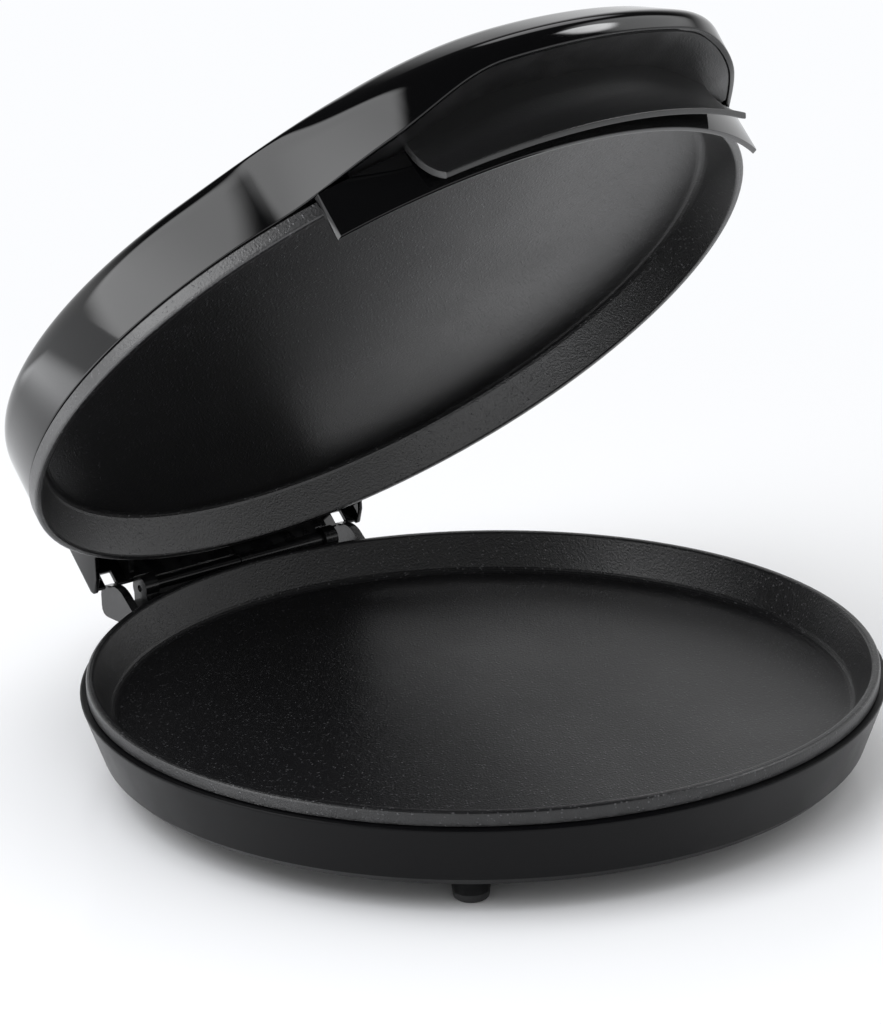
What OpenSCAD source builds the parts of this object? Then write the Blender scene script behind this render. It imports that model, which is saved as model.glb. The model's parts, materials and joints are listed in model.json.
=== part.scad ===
// Electric pizza maker: a round clamshell baker with two dished plates.
// Millimetres, +Z up. The origin is on the table, under the middle of the open object.
// The front, with the grip, looks along -Y. The hinge runs along X behind the plates.
// Sizes in Y are worked out from the plates' middle; on_base() and on_lid() move them to the origin.
// Lid pieces are drawn as if the lid were shut, then swung open about the hinge pin.

/* [Plates] */
// Outer diameter of the rims of both baking plates
plate_d = 325; // [290:1:360]
// Width of the flat on top of a plate's rim
rim_flat = 3.3; // [2:0.1:5]
// Thickness of the cast plates
plate_t = 2.2; // [1.8:0.1:3]
// Depth of the lower plate's dish
lower_depth = 17; // [13:0.5:18.5]
// Depth of the upper plate's dish
upper_depth = 17; // [12:0.5:19]
// How far the dish wall leans in between rim and floor
dish_lean = 7.2; // [4:0.1:12]
// Radius where the dish wall meets the floor
dish_fillet = 4; // [2:0.5:8]
// Height of the lower plate's rim band, above the housing
lower_band_h = 5.5; // [4:0.1:8]
// Height of the upper plate's rim band, below the lid shell
upper_band_h = 5.8; // [4:0.1:8]
// Shadow gap between a rim band and the shell next to it
shadow_gap = 0.5; // [0.3:0.1:1.5]
// Gap between the two rims when the lid is shut
shut_gap = 0.5; // [0.3:0.1:1.5]

/* [Base] */
// Height of the legs under the base housing
leg_h = 12.5; // [10:0.5:18]
// Height of the base housing's side
side_h = 26.2; // [24:0.2:34]
// How far the housing's top edge stands out past the rim
housing_proud = 3; // [1.5:0.1:6]
// How far the housing's side leans in towards the bottom
side_lean = 8; // [4:0.5:14]
// Size of the bevel round the bottom of the side
side_bevel = 3; // [1:0.1:5]
// Wall thickness of the base housing
base_wall = 2.2; // [1.8:0.1:3]
// How far the legs stand in from the sides of the plates
leg_in_side = 70.5; // [60:0.5:80]
// How far the legs stand in from the front and rear of the plates
leg_in_front = 59; // [52:0.5:70]
// Leg diameter where it meets the housing
leg_top_d = 18.4; // [14:0.2:24]
// Leg diameter at the pad
leg_low_d = 14.4; // [10:0.2:18]
// Height of the rubber pads
pad_h = 3.5; // [2:0.1:6]

/* [Lid] */
// Height of the lid's upright wall, up to the dome
lid_wall_h = 30.8; // [26:0.2:40]
// Rise of the dome in the middle of the lid
dome_h = 5.2; // [2:0.2:14]
// Wall thickness of the lid shell
lid_wall = 2.6; // [2:0.1:3.4]
// How far the hood stands out over the grip
hood_reach = 34; // [24:0.5:42]
// How far the hood's lower edge lifts over the grip
hood_rise = 7.2; // [3:0.2:10]
// How far the face of the hood drops below the lid's shoulder
hood_drop = 11; // [6:0.5:14]
// Half angle of the hood's full width
hood_full = 15; // [8:1:20]
// Half angle where the hood dies into the round wall
hood_end = 45.5; // [38:0.5:56]

/* [Grip] */
// How far the grip lip's lower edge stands out past the plates
lip_out = 19.5; // [13.5:0.5:25.5]
// How far the grip lip hangs below the upper rim
lip_hang = 13.8; // [8:0.2:18]
// Half angle of the grip lip
lip_half = 25; // [18:0.5:28]
// How far outside the plates the wall of the grip's hollow stands, at its deepest
cove_out = 9; // [8.5:0.5:11.5]
// Thickness of the grip lip
lip_t = 2.4; // [1.8:0.1:2.8]
// How far outside the plates the heat guard's outer face stands
guard_out = 6; // [5:0.1:6.4]
// How far the heat guard hangs below the upper rim
guard_hang = 13; // [8:0.2:18]
// Half angle of the heat guard
guard_half = 38.3; // [30:0.1:42]
// Thickness of the heat guard
guard_t = 2.4; // [1.8:0.1:2.4]

/* [Hinge] */
// Distance of the hinge pin behind the plates' rear
hinge_out = 9.9; // [8.5:0.1:12]
// Height of the hinge pin below the lower rim
hinge_drop = 3.4; // [2:0.1:4.4]
// Diameter of the hinge pin
pin_d = 3; // [2:0.1:3.6]
// Radial clearance of the pin in its bores
pin_fit = 0.06; // [0.02:0.01:0.1]
// Outer diameter of the hinge tubes
tube_d = 6.6; // [6:0.1:8]
// Half length of the row of tubes
tube_half = 46; // [36:0.5:47]
// Width of each end block
block_w = 7; // [4:0.5:8]
// Half width of the base's hinge housing over its two ears
ear_half = 65.5; // [64:0.5:67]
// How far the ears reach behind the pin
ear_back = 11.9; // [10:0.1:12.5]
// How far the ears rise above the pin
ear_up = 3.7; // [3:0.1:5]
// Height of the ears
ear_h = 16; // [13:0.5:17]
// Half width of the lid's rear cowl
cowl_half = 73.5; // [70:0.5:80]
// How far the cowl reaches behind the pin
cowl_back = 4.8; // [4:0.1:6]
// Radius of the cowl's rear edge at the top
cowl_round = 13; // [6:0.5:16]

/* [Heating] */
// Diameter of the tubular heating elements
element_d = 6.5; // [5:0.1:6.6]
// Radius of the elements' loop
element_r = 102; // [96:1:118]
// Radius of the circle of plate fixings
fixing_r = 66; // [60:1:72]

/* [Pose] */
// Opening of the lid, as it stands
lid_open = 44.5; // [20:0.5:60]

/* [Hidden] */
$fn = 96;

black_gloss = "#141417";
black_satin = "#26262a";
black_rubber = "#19191a";
coating = "#3b3a3f";
bare_steel = "#b9bcc0";
bright_sheet = "#cfd2d6";
mica = "#d8cfb8";

// Small clearance between faces that rest on each other
seat = 0.2;
// Overlap that fuses two shapes of one piece
eps = 0.1;

plate_r = plate_d / 2;
rim_in_r = plate_r - rim_flat;
floor_r = rim_in_r - dish_lean;
rim_z = leg_h + side_h + shadow_gap + lower_band_h;
housing_top = leg_h + side_h;
housing_r = plate_r + housing_proud;
housing_low_r = housing_r - side_lean - side_bevel;
housing_floor = leg_h + base_wall;
lower_floor_z = rim_z - lower_depth;
lower_back_z = lower_floor_z - plate_t;

upper_rim_z = rim_z + shut_gap;
upper_floor_z = upper_rim_z + upper_depth;
upper_back_z = upper_floor_z + plate_t;
shell_z = upper_rim_z + upper_band_h + shadow_gap;
shell_r = plate_r - 0.8;
shoulder_z = shell_z + lid_wall_h;
face_top_z = shoulder_z - 4.8;
crown_in = 4;
crown_reach = 22;

lip_r = plate_r + lip_out;
cove_r = plate_r + cove_out;
guard_r = plate_r + guard_out;
leg_x = plate_r - leg_in_side;
leg_y = plate_r - leg_in_front;

hinge_y = plate_r + hinge_out;
hinge_z = rim_z - hinge_drop;
bore_r = pin_d / 2 + pin_fit;
shelf_z = hinge_z - 9.5;
ear_rear = hinge_y + ear_back;
ear_top = hinge_z + ear_up;
ear_low = ear_top - ear_h;
cowl_rear = hinge_y + cowl_back;
cowl_top = shoulder_z - 1.2;
// The cowl's rear wall ends just above the pin, and higher in a notch over each ear, to swing clear of it
cowl_edge_z = hinge_z + tube_d / 2 + 2.2;
notch_z = hinge_z + ear_back + 0.8;
cowl_wall = 2.4;
ear_t = 4;

// Middle of the open object in Y, from the plates' middle: rear edge of the cowl against front of the base
rear_reach = hinge_y + (cowl_back - cowl_round) * cos(lid_open)
    + (cowl_top - cowl_round - hinge_z) * sin(lid_open) + cowl_round;
mid_y = (rear_reach - housing_r) / 2;

reflector_t = 0.5;
pan_z = upper_back_z + element_d + 1 + 2 * seat;
screw_d = 3;
screw_head_d = 5.6;
boss_d = 9;
base_recess = 1.2;
fixing_angles = [30, 150, 270];
fuse_angle = 220;
fuse_r = 50;
fuse_d = 4;

module on_base() {
    translate([0, -mid_y, 0]) children();
}

// Places a lid piece, drawn shut, at the lid's opening
module on_lid() {
    translate([0, hinge_y - mid_y, hinge_z])
        rotate([-lid_open, 0, 0])
            translate([0, -hinge_y, -hinge_z])
                children();
}

module at_fixings() {
    for (a = fixing_angles)
        rotate(a) translate([fixing_r, 0, 0]) children();
}

// Extrudes a YZ section along X
module along_x(x0, x1) {
    translate([x0, 0, 0]) rotate([90, 0, 90]) linear_extrude(x1 - x0) children();
}

// A bar between two points, with round ends, for a lead
module lead(from, to, d) {
    v = to - from;
    len = norm(v);
    translate(from)
        rotate([0, acos(v.z / len), atan2(v.y, v.x)])
            cylinder(d = d, h = len, $fn = 24);
}

function arc(c, r, a0, a1, n) = [for (i = [0:n]) let (a = a0 + (a1 - a0) * i / n) [c.x + r * cos(a), c.y + r * sin(a)]];

function ease(u) = let (v = min(max(u, 0), 1)) v * v * (3 - 2 * v);

// 1 up to angle full, falling smoothly to 0 at angle end
function swell(a, full, end) = 1 - ease((a - full) / (end - full));

// Three or more points that round the corner at b
function rounded(a, b, c, size, n) =
    let (
        s = b + (a - b) * min(size / norm(a - b), 0.5),
        e = b + (c - b) * min(size / norm(c - b), 0.5)
    )
    [for (i = [0:n]) let (u = i / n) s * pow(1 - u, 2) + 2 * b * u * (1 - u) + e * u * u];

// Section of a baking plate, drawn as the lower one, its rim at z = 0 and its floor below
module plate_section(depth, band_h) {
    round_r = 0.8;
    back = 2.2;
    // Floor corner: the fillet touches the floor and the leaning wall
    lean = atan2(dish_lean, depth);
    fil = dish_fillet;
    fx = floor_r - fil * tan((90 - lean) / 2);
    fc = [fx, -depth + fil];
    wall_dx = plate_t / cos(lean);
    skin = fil + plate_t;
    polygon(concat(
        [[0, -depth]],
        arc(fc, fil, -90, -lean, 4),
        rounded([floor_r, -depth], [rim_in_r, 0], [plate_r, 0], round_r, 2),
        rounded([rim_in_r, 0], [plate_r, 0], [plate_r, -band_h], round_r * 1.6, 3),
        [[plate_r, -band_h], [plate_r - back, -band_h], [plate_r - back, -back - 0.4],
         [rim_in_r + wall_dx - (back + 0.4) * tan(lean), -back - 0.4]],
        arc(fc, skin, -lean, -90, 4),
        [[0, -depth - plate_t]]
    ));
}

module base_housing() {
    color(black_satin) on_base() difference() {
        union() {
            rotate_extrude() housing_section();
            legs();
            at_fixings() translate([0, 0, leg_h]) cylinder(d = boss_d, h = base_wall + 1, $fn = 48);
            housing_ribs();
            hinge_block();
        }
        for (x = [-1, 1], y = [-1, 1])
            translate([x * leg_x, y * leg_y, -eps])
                cylinder(d = pad_stem_d + 2 * seat, h = leg_h + base_wall + 2 * eps, $fn = 32);
        at_fixings() {
            translate([0, 0, leg_h - eps]) cylinder(d = screw_d + 0.4, h = 20, $fn = 32);
            translate([0, 0, leg_h - eps]) cylinder(d = screw_head_d + 0.8, h = base_recess + eps, $fn = 32);
        }
        vents();
        pin_bore(-tube_half - block_w - 1, tube_half + block_w + 1);
        at_bush() translate([0, 0, -8]) cylinder(d = bush_d + 2 * seat, h = 16, $fn = 48);
    }
}

module housing_section() {
    top_round = 1.2;
    inner_r = housing_r - 5;
    polygon(concat(
        [[0, leg_h], [housing_low_r, leg_h], [housing_low_r + side_bevel, leg_h + side_bevel]],
        rounded([housing_low_r + side_bevel, leg_h + side_bevel], [housing_r, housing_top],
            [inner_r, housing_top], top_round, 3),
        [[inner_r, housing_top], [inner_r, housing_top - 2], [housing_r - base_wall - 0.7, housing_top - 2],
         [housing_low_r + side_bevel - base_wall, leg_h + side_bevel + 1],
         [housing_low_r - 1, housing_floor], [0, housing_floor]]
    ));
}

module legs() {
    for (x = [-1, 1], y = [-1, 1])
        translate([x * leg_x, y * leg_y, 0])
            rotate_extrude() polygon([
                [0, pad_h + seat / 2], [leg_low_d / 2, pad_h + seat / 2],
                [leg_top_d / 2 - 0.8, leg_h - 1.4], [leg_top_d / 2 + 0.6, leg_h], [0, leg_h]]);
}

module housing_ribs() {
    count = 12;
    rib_t = 1.8;
    rib_in = housing_low_r - 14;
    for (i = [0:count - 1])
        rotate(15 + i * 360 / count)
            rotate([90, 0, 0])
                translate([0, 0, -rib_t / 2])
                    linear_extrude(rib_t)
                        polygon([[rib_in, housing_floor - eps], [housing_low_r - 2, housing_floor - eps],
                            [housing_low_r + side_bevel - 1.6, leg_h + side_bevel + 6],
                            [housing_low_r - 1, leg_h + side_bevel + 6]]);
}

// Rows of cooling slots in the housing's floor
module vents() {
    slot_w = 3;
    slot_l = 16;
    slots = 10;
    for (i = [0:slots - 1])
        rotate(i * 360 / slots + 18)
            translate([32, 0, leg_h - eps])
                linear_extrude(base_wall + 2 * eps)
                    union() {
                        translate([0, -slot_w / 2]) square([slot_l, slot_w]);
                        circle(d = slot_w, $fn = 24);
                        translate([slot_l, 0]) circle(d = slot_w, $fn = 24);
                    }
}

pad_stem_d = 4;

module foot_pads() {
    color(black_rubber) on_base()
        for (x = [-1, 1], y = [-1, 1])
            translate([x * leg_x, y * leg_y, 0])
                rotate_extrude() polygon(concat(
                    [[0, 0]],
                    rounded([0, 0], [leg_low_d / 2 - 0.3, 0], [leg_low_d / 2, pad_h], 2.4, 4),
                    [[leg_low_d / 2, pad_h], [pad_stem_d / 2, pad_h],
                     [pad_stem_d / 2, leg_h - 2], [0, leg_h - 2]]));
}

module lower_plate() {
    color(coating) on_base() difference() {
        union() {
            translate([0, 0, rim_z]) rotate_extrude() plate_section(lower_depth, lower_band_h);
            at_fixings()
                translate([0, 0, leg_h + base_wall + 1 + seat])
                    cylinder(d = boss_d - 1, h = lower_back_z - leg_h - base_wall - 1, $fn = 48);
        }
        at_fixings()
            translate([0, 0, housing_floor])
                cylinder(d = screw_d - 0.3, h = lower_back_z - housing_floor - 1, $fn = 32);
    }
}

module lower_element() {
    color(bare_steel) on_base()
        translate([0, 0, lower_back_z - seat - element_d / 2]) heating_loop();
}

// Nearly closed loop, with two ends that bend inwards and end in terminal tabs
module heating_loop() {
    gap = 20;
    bend_r = 11;
    end_len = 30;
    collar_len = 5;
    tab = [9, 4.8, 0.8];
    c = element_r - bend_r;
    // The bends are a touch thinner than the rest and reach a little into it, which fuses them cleanly
    bend_d = element_d - 0.1;
    reach = 1.5;
    rotate(90 + gap) rotate_extrude(angle = 360 - 2 * gap)
        translate([element_r, 0]) circle(d = element_d, $fn = 32);
    for (side = [-1, 1])
        rotate(90 + side * gap)
            translate([c, 0, 0]) {
                rotate((side > 0 ? -90 : 0) - reach)
                    rotate_extrude(angle = 90 + 2 * reach)
                        translate([bend_r, 0]) circle(d = bend_d, $fn = 32);
                translate([0, -side * bend_r, 0]) rotate([0, -90, 0]) {
                    cylinder(d = element_d, h = end_len, $fn = 32);
                    cylinder(d = element_d - 1.4, h = end_len + collar_len, $fn = 32);
                }
                translate([-end_len - collar_len - tab.x + 1, -side * bend_r - tab.y / 2, -tab.z / 2]) cube(tab);
            }
}

// Flat sheet under an element, with a turned-up rim
module reflector_sheet(hole_d) {
    edge_r = element_r + 24;
    out = edge_r + sheet_lip * 0.6;
    difference() {
        rotate_extrude() polygon([[14, 0], [edge_r, 0], [out, sheet_lip],
            [out - 0.6, sheet_lip], [edge_r - 0.4, reflector_t], [14, reflector_t]]);
        at_fixings() translate([0, 0, -1]) cylinder(d = hole_d, h = 3, $fn = 48);
    }
}

module lower_reflector() {
    color(bright_sheet) on_base() translate([0, 0, housing_floor + seat]) reflector_sheet(boss_d + 1);
}

// Three straps that hold an element to a plate's back; they hang below it
module element_straps() {
    strap_w = 8;
    strap_t = 0.8;
    reach = element_d / 2 + 0.2;
    for (a = [-90, 30, 150])
        rotate(a) translate([element_r, 0, 0]) rotate([90, 0, 0]) translate([0, 0, -strap_w / 2])
            linear_extrude(strap_w) {
                difference() {
                    union() {
                        circle(r = reach + strap_t, $fn = 48);
                        translate([-reach - strap_t, 0]) square([2 * (reach + strap_t), reach - 0.1]);
                        translate([-reach - 7, reach - strap_t - 0.1]) square([2 * reach + 14, strap_t]);
                    }
                    circle(r = reach, $fn = 48);
                    translate([-reach, 0]) square([2 * reach, reach + 1]);
                }
            }
}

module lower_clips() {
    color(bare_steel) on_base()
        translate([0, 0, lower_back_z - seat - element_d / 2]) element_straps();
}

module thermostat() {
    cap_d = 17;
    flange_d = 20;
    h = lower_back_z - housing_floor - 2 * seat;
    color("#2b2420") on_base() translate([0, 0, housing_floor + seat + 2.4]) {
        cylinder(d = cap_d - 2, h = h - 2.4 - 1.2, $fn = 64);
        translate([0, 0, h - 2.4 - 1.2]) cylinder(d = flange_d, h = 1.2, $fn = 64);
        for (x = [-1, 1])
            translate([x * 4 - 0.4, -2.4, -2.2]) cube([0.8, 4.8, 2.4]);
    }
}

// A sleeved thermal fuse in its clip, against a plate's back
module fuse_shape() {
    rotate([0, 90, 0]) cylinder(d = fuse_d, h = 14, center = true, $fn = 48);
    translate([-4, -fuse_d / 2 - 0.6, 0]) cube([8, fuse_d + 1.2, fuse_d / 2 - 0.05]);
    translate([-4, -8, fuse_d / 2 - 0.85]) cube([8, 8, 0.8]);
}

module lower_thermal_fuse() {
    color("#c9b27a") on_base()
        rotate(fuse_angle) translate([fuse_r, 0, lower_back_z - seat - fuse_d / 2]) fuse_shape();
}

sheet_lip = 3;
block_size = [34, 15, 6.4];
block_y = element_r + 24 + 3.5;
// Height at which the leads pass over the lip of the lower sheet
lead_z = housing_floor + seat + sheet_lip + 1.4;

module terminal_block() {
    pitch = 11;
    color(mica) on_base()
        translate([-block_size.x / 2, block_y, housing_floor + seat])
            difference() {
                cube(block_size);
                for (i = [0:2]) {
                    for (y = [4, 11])
                        translate([6 + i * pitch, y, 2]) cylinder(d = 3.4, h = block_size.z, $fn = 32);
                    translate([6 + i * pitch, -eps, lead_z - housing_floor - seat])
                        rotate([-90, 0, 0]) cylinder(d = 2.6, h = block_size.y + 1, $fn = 32);
                }
            }
}

// Leads from the terminal block to the element, the thermostat and the cord's bush
module base_leads() {
    d = 2.2;
    z = lead_z;
    under_tab = lower_back_z - 2 * seat - element_d / 2 - 0.5 - d / 2;
    color("#e6e2d8") on_base() {
        for (side = [-1, 1]) {
            lead([side * 5.5, block_y - 0.7, z], [side * 6, 50, under_tab], d);
            lead([side * 6, block_y + block_size.y + 0.7, z], [side * 2, housing_low_r - 2, bush_z], d);
        }
        lead([0, block_y - 0.7, z], [0, 9.5, z - 2.4], d);
    }
}

module screw(head_d, len, head_h) {
    translate([0, 0, -eps]) cylinder(d = screw_d - 0.4, h = len + eps, $fn = 32);
    difference() {
        translate([0, 0, -head_h]) cylinder(d = head_d, h = head_h, $fn = 48);
        // Cross recess in the head
        for (a = [0, 90])
            rotate(a) translate([-1.5, -0.3, -head_h]) cube([3, 0.6, 0.9]);
    }
}

module base_screws() {
    color(bare_steel) on_base()
        at_fixings() translate([0, 0, leg_h + base_recess - seat / 2]) screw(screw_head_d, 8, 1);
}

// Block behind the round housing: two ears, a shelf, the left half of the tube and two bearings
module hinge_block() {
    wall = 2.2;
    bearing_r = tube_d / 2 + 2;
    difference() {
        union() {
            for (side = [-1, 1])
                translate([side > 0 ? ear_half - ear_t : -ear_half, 0, 0]) along_x(0, ear_t) ear_outline(ear_top);
            along_x(-ear_half + 1, ear_half - 1) ear_outline(shelf_z);
            bearing(-tube_half, -0.3, tube_d / 2);
            bearing(-tube_half - block_w, -tube_half, bearing_r);
            bearing(tube_half + 0.4, tube_half + block_w, bearing_r);
        }
        // Hollow of the shelf, open towards the round housing
        along_x(-ear_half + ear_t, ear_half - ear_t)
            polygon([[hinge_y - 30, ear_low + wall], [ear_rear - wall, ear_low + wall],
                [ear_rear - wall, shelf_z - wall], [hinge_y - 30, shelf_z - wall]]);
        rotate_extrude() housing_inside();
    }
}

// The YZ section of the ears, up to a height
module ear_outline(top) {
    foot_round = 3;
    front = hinge_y - 30;
    intersection() {
        polygon(concat(
            [[front, ear_low]],
            rounded([front, ear_low], [ear_rear, ear_low], [ear_rear, ear_top], foot_round * 1.6, 4),
            rounded([ear_rear, ear_low], [ear_rear, ear_top - 1.6], [hinge_y - 1, ear_top], 5, 4),
            rounded([ear_rear, ear_top - 1.6], [hinge_y - 2, ear_top + 0.2], [hinge_y - 18, ear_top - 13], 5, 4),
            [[hinge_y - 18, ear_top - 13], [front, ear_top - 13]]));
        translate([front, ear_low]) square([60, top - ear_low]);
    }
}

// Space inside the round housing, kept free of the hinge block
module housing_inside() {
    polygon([[0, leg_h], [housing_low_r - 1, housing_floor],
        [housing_r - base_wall - 0.7, housing_top - 2], [housing_r - 4, housing_top + 20], [0, housing_top + 20]]);
}

// A round bearing or tube on a foot that stands on the shelf, with a ledge in front
module bearing(x0, x1, r) {
    ledge = 1.2;
    translate([0, hinge_y, hinge_z]) {
        along_x(x0, x1) circle(r = r);
        along_x(x0, x1) polygon([[-r - ledge, shelf_z - hinge_z - 1], [r - 0.8, shelf_z - hinge_z - 1], [r - 0.8, -1],
            [-r + 0.6, -1], [-r - ledge, -r + 0.4]]);
    }
}

module pin_bore(x0, x1) {
    translate([0, hinge_y, hinge_z]) along_x(x0, x1) circle(r = bore_r);
}

bush_d = 10;
bush_z = leg_h + 9.5;
side_tilt = atan2(side_lean, side_h - side_bevel);

// At the hole for the cord, with +Z out of the slanted wall
module at_bush() {
    r = housing_low_r + side_bevel + (bush_z - leg_h - side_bevel) * tan(side_tilt);
    translate([0, r, bush_z]) rotate([-90 - side_tilt, 0, 0]) children();
}

// Rubber bush that lines the cord's hole
module cord_bush() {
    flange_d = bush_d + 4;
    inner = base_wall + 0.3;
    color(black_rubber) on_base() at_bush()
        difference() {
            union() {
                translate([0, 0, 0.3]) cylinder(d = flange_d, h = 1.8, $fn = 64);
                translate([0, 0, -inner - 1.8]) cylinder(d = bush_d, h = inner + 2.4, $fn = 64);
                translate([0, 0, -inner - 1.8]) cylinder(d = flange_d, h = 1.5, $fn = 64);
            }
            translate([0, 0, -10]) cylinder(d = 6.8, h = 20, $fn = 64);
        }
}

module hinge_pin() {
    sink = 1;
    color(bare_steel) on_base() translate([0, hinge_y, hinge_z])
        along_x(-tube_half - block_w + sink, tube_half + block_w - sink) circle(d = pin_d);
}

// Outer or inner outline of the lid's section at angle a from the front, from its edge to its crown
function lid_outline(a, inset) =
    let (
        hood = swell(abs(a), hood_full, hood_end),
        crown = swell(abs(a), 10, 56),
        low_r = hood_low_r(a),
        low = [low_r - inset, hood_low_z(a)],
        face = [low_r + hood - inset, face_top_z - hood_drop * hood - inset * 0.3],
        top = [shell_r - crown_in + crown_reach * crown - inset * 0.6, shoulder_z - inset],
        in = [top.x - 30, shoulder_z - inset]
    )
    concat(
        [low],
        rounded(low, face, top, 5, 3),
        rounded(face, top, in, 7, 4),
        [for (f = [0.72, 0.48, 0.24]) [top.x * f, shoulder_z - inset + dome_h * (1 - f * f)]]
    );

function hood_low_r(a) = shell_r + hood_reach * swell(abs(a), hood_full, hood_end);
function hood_low_z(a) = shell_z + hood_rise * swell(abs(a), 12.8, 27.6);

// A point of a section turned to angle a from the front
function turned(p, a) = [p.x * sin(a), -p.x * cos(a), p.y];

module shell_body() {
    steps = shell_steps;
    n = len(lid_outline(0, 0));
    ring = 2 * n;
    outline = [for (i = [0:steps - 1])
        let (a = i * 360 / steps - 180)
        each concat(
            [for (p = lid_outline(a, 0)) turned(p, a)],
            [for (p = lid_outline(a, lid_wall)) turned(p, a)])];
    tips = [[0, 0, shoulder_z + dome_h], [0, 0, shoulder_z + dome_h - lid_wall]];
    tip = steps * ring;
    faces = concat(
        [for (i = [0:steps - 1], j = [0:n - 2])
            let (p = i * ring + j, q = ((i + 1) % steps) * ring + j)
            each [[p, p + 1, q], [q, p + 1, q + 1]]],
        [for (i = [0:steps - 1], j = [n:2 * n - 2])
            let (p = i * ring + j, q = ((i + 1) % steps) * ring + j)
            each [[p, q, p + 1], [q, q + 1, p + 1]]],
        [for (i = [0:steps - 1])
            let (p = i * ring, q = ((i + 1) % steps) * ring)
            each [[p, q, p + n], [q, q + n, p + n]]],
        [for (i = [0:steps - 1])
            let (p = i * ring + n - 1, q = ((i + 1) % steps) * ring + n - 1)
            [p, tip, q]],
        [for (i = [0:steps - 1])
            let (p = i * ring + ring - 1, q = ((i + 1) % steps) * ring + ring - 1)
            [p, q, tip + 1]]
    );
    polyhedron(concat(outline, tips), faces, convexity = 8);
}

// Rear cowl of the lid, over the hinge: hollow, open below, with side walls that reach lower than its rear
module cowl() {
    lip_z = hinge_z + 4.4;
    notch_w = ear_t + 2;
    difference() {
        along_x(-cowl_half, cowl_half) cowl_outline(0, lip_z);
        along_x(-cowl_half + cowl_wall, cowl_half - cowl_wall) cowl_outline(cowl_wall, lip_z - 9);
        translate([-cowl_half + cowl_wall, hinge_y - 12, lip_z - 1])
            cube([2 * (cowl_half - cowl_wall), 40, cowl_edge_z - lip_z + 1]);
        for (side = [-1, 1])
            translate([side * (ear_half - ear_t / 2) - notch_w / 2, hinge_y - 12, lip_z - 1])
                cube([notch_w, 40, notch_z - lip_z + 1]);
        cylinder(r = shell_r - lid_wall / 2, h = 200, center = true);
    }
}

// The YZ section of the cowl
module cowl_outline(inset, low) {
    rear = cowl_rear - inset;
    top = cowl_top - inset;
    r = cowl_round - inset;
    front = hinge_y - 60;
    polygon(concat(
        [[front, shell_z], [hinge_y - 26, shell_z], [hinge_y - 10.4, shell_z + 5], [hinge_y - 3.6, low + 3.4],
         [hinge_y + 2.4, low], [rear - 1.2, low], [rear, low + 1.8]],
        arc([rear - r, top - r], r, 0, 90, 12),
        [[front, top]]));
}

module lid_shell() {
    color(black_gloss) on_lid() difference() {
        union() {
            shell_body();
            cowl();
            // Hollow posts that stand on the pan, over the plate's screws
            at_fixings()
                translate([0, 0, pan_z + reflector_t + seat])
                    difference() {
                        cylinder(d = boss_d, h = shoulder_z + dome_h / 2 - pan_z, $fn = 48);
                        translate([0, 0, -1]) cylinder(d = screw_head_d + 0.8, h = 6, $fn = 48);
                    }
        }
        for (side = [-1, 1]) lens_hole(side);
        for (x = [-24, 24]) bracket_screw_at(x) cylinder(d = screw_d - 0.3, h = 12, center = true, $fn = 32);
    }
}

lens_y = 16.5 - plate_r;
lens_gap = 11;
lens_d = 7;
lens_top = shoulder_z + 1.6;

module lens_hole(side) {
    translate([side * lens_gap, lens_y, shoulder_z - 8]) cylinder(d = lens_d + 0.4, h = 20, $fn = 48);
}

// A domed lens with a flange under the shell
module lens() {
    flange = shoulder_z - lid_wall - 0.2;
    translate([0, lens_y, 0]) rotate_extrude() polygon(concat(
        [[0, flange - 1.2], [lens_d / 2 + 1.3, flange - 1.2], [lens_d / 2 + 1.3, flange - 0.2],
         [lens_d / 2, flange - 0.2]],
        rounded([lens_d / 2, flange], [lens_d / 2, lens_top], [0, lens_top], 1.6, 4),
        [[0, lens_top]]));
}

module power_lens() {
    color("#b0201c") on_lid() translate([-lens_gap, 0, 0]) lens();
}

module ready_lens() {
    color("#1f8f3a") on_lid() translate([lens_gap, 0, 0]) lens();
}

// Board with the two indicator lamps, on pegs under the lenses
module lamp_board() {
    size = [40, 14, 1.4];
    z = shoulder_z - lid_wall - 6.2;
    color("#c9c2a6") on_lid() {
        translate([-size.x / 2, lens_y - size.y / 2, z]) cube(size);
        for (side = [-1, 1])
            translate([side * lens_gap, lens_y, z + size.z - eps])
                cylinder(d = 4.6, h = 3.1, $fn = 48);
    }
}

// Ledge that closes the hood from below and the curved wall of the grip with its flared lip
module grip_cover() {
    color(black_satin) on_lid() {
        grip_ledge();
        grip_wall();
    }
}

// Rings of the lid shell; the ledge is cut at the same angles, so the two run parallel
shell_steps = 96;
ledge_steps = 18;
ledge_half = ledge_steps * 180 / shell_steps;
ledge_in_r = plate_r + 2.5;
ledge_t = 2;
ledge_lift = 0.8;
// Room between the ledge and the shell's inner face
ledge_gap = 0.35;

module grip_ledge() {
    section = [for (i = [0:ledge_steps])
        let (
            a = -ledge_half + 2 * ledge_half * i / ledge_steps,
            out = hood_low_r(a) - lid_wall - ledge_gap,
            z = hood_low_z(a) + ledge_lift
        )
        each [turned([ledge_in_r, z], a), turned([out, z], a),
            turned([out, z + ledge_t], a), turned([ledge_in_r, z + ledge_t], a)]];
    last = ledge_steps * 4;
    sides = [for (i = [0:ledge_steps - 1], j = [0:3])
        let (p = i * 4 + j, q = i * 4 + (j + 1) % 4)
        each [[p, q, p + 4], [q, q + 4, p + 4]]];
    polyhedron(section, concat(sides, [[0, 2, 1], [0, 3, 2]],
        [[last, last + 1, last + 2], [last, last + 2, last + 3]]), convexity = 6);
}

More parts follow.
